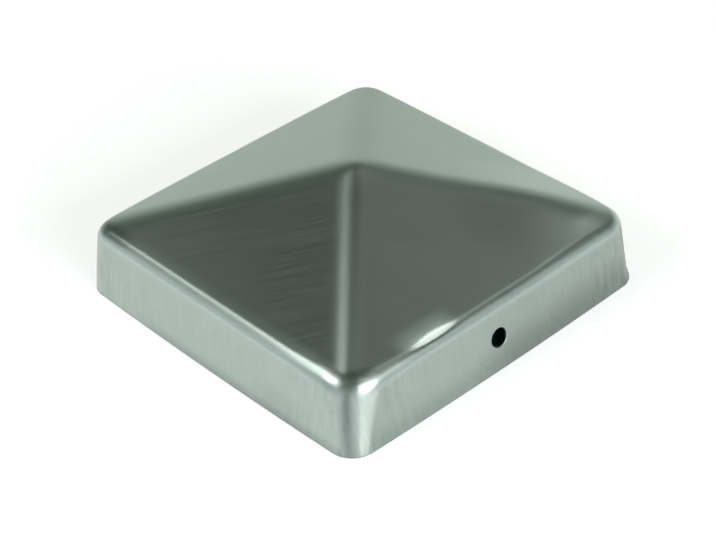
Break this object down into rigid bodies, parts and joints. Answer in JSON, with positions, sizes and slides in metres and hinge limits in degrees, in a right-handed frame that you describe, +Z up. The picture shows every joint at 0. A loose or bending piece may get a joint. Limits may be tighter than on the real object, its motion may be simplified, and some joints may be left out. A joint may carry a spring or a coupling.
{
  "type": "post cap",
  "caption": "Pressed stainless steel pyramid cap that covers the end of a square timber post, with a leaning skirt and a screw hole in two opposite sides.",
  "frame": {"origin": "middle of the rim's plane, where the cap would rest on a flat surface", "axes": "+Z up through the tip of the pyramid, +X and -X out through the two sides with a screw hole"},
  "size_m": [0.0962, 0.0962, 0.0342],
  "materials": {
    "brushed_stainless": "brushed stainless sheet, as pressed, with fine draw marks"
  },
  "bodies": {
    "root": {"post_cap": "brushed_stainless"}
  },
  "joints": []
}
